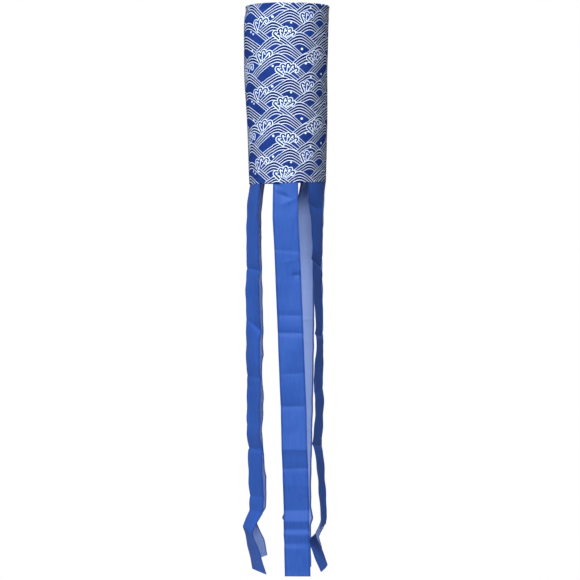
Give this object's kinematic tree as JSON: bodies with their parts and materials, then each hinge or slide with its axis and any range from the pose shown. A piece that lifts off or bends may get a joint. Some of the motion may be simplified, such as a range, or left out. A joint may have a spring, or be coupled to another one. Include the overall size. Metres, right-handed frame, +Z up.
{
  "type": "windsock streamer",
  "caption": "Hanging cloth windsock: a hooped tube in a rolling wave print, with plain satin ribbon tails sewn under its hem.",
  "frame": {"origin": "centre of the rim, in the plane of the top edge of the sleeve, where the streamer hangs", "axes": "+Z up along the sleeve, -Y toward the front, +X to the right; the sleeve and its ribbons hang down along -Z"},
  "size_m": [0.1532, 0.1656, 0.9993],
  "materials": {
    "printed_cloth": "matt woven polyester, printed",
    "ribbon_cloth": "satin",
    "hoop_plastic": "satin",
    "ferrule_metal": "satin",
    "thread": "matt"
  },
  "bodies": {
    "sleeve": {"sleeve": "printed_cloth", "top_hoop": "hoop_plastic", "hoop_ferrule": "ferrule_metal", "casing_stitching": "thread", "hem_stitching": "thread", "back_seam_stitching": "thread"},
    "streamer_front": {"streamer_front": "ribbon_cloth"},
    "streamer_front_right": {"streamer_front_right": "ribbon_cloth"},
    "streamer_right": {"streamer_right": "ribbon_cloth"},
    "streamer_back_right": {"streamer_back_right": "ribbon_cloth"},
    "streamer_back": {"streamer_back": "ribbon_cloth"},
    "streamer_back_left": {"streamer_back_left": "ribbon_cloth"},
    "streamer_front_left": {"streamer_front_left": "ribbon_cloth"}
  },
  "joints": [
    {"name": "front_swing", "type": "hinge", "parent": "sleeve", "child": "streamer_front", "pos_m": [-0.00349, -0.06666, -0.3149], "axis": [-0.9986, 0.0523, 0], "range_deg": [0, 78]},
    {"name": "front_right_swing", "type": "hinge", "parent": "sleeve", "child": "streamer_front_right", "pos_m": [0.0526, -0.0411, -0.3149], "axis": [-0.6157, -0.788, 0], "range_deg": [0, 78]},
    {"name": "right_swing", "type": "hinge", "parent": "sleeve", "child": "streamer_right", "pos_m": [0.0661, 0.00929, -0.3149], "axis": [0.1392, -0.9903, 0], "range_deg": [0, 78]},
    {"name": "back_right_swing", "type": "hinge", "parent": "sleeve", "child": "streamer_back_right", "pos_m": [0.04291, 0.05113, -0.3149], "axis": [0.766, -0.6428, 0], "range_deg": [-1, 78]},
    {"name": "back_swing", "type": "hinge", "parent": "sleeve", "child": "streamer_back", "pos_m": [-0.00349, 0.06666, -0.3149], "axis": [0.9986, 0.0523, 0], "range_deg": [0, 78]},
    {"name": "back_left_swing", "type": "hinge", "parent": "sleeve", "child": "streamer_back_left", "pos_m": [-0.05661, 0.03537, -0.3149], "axis": [0.5299, 0.848, 0], "range_deg": [-1.5, 78]},
    {"name": "front_left_swing", "type": "hinge", "parent": "sleeve", "child": "streamer_front_left", "pos_m": [-0.05999, -0.02926, -0.3149], "axis": [-0.4384, 0.8988, 0], "range_deg": [-1.5, 78]}
  ]
}
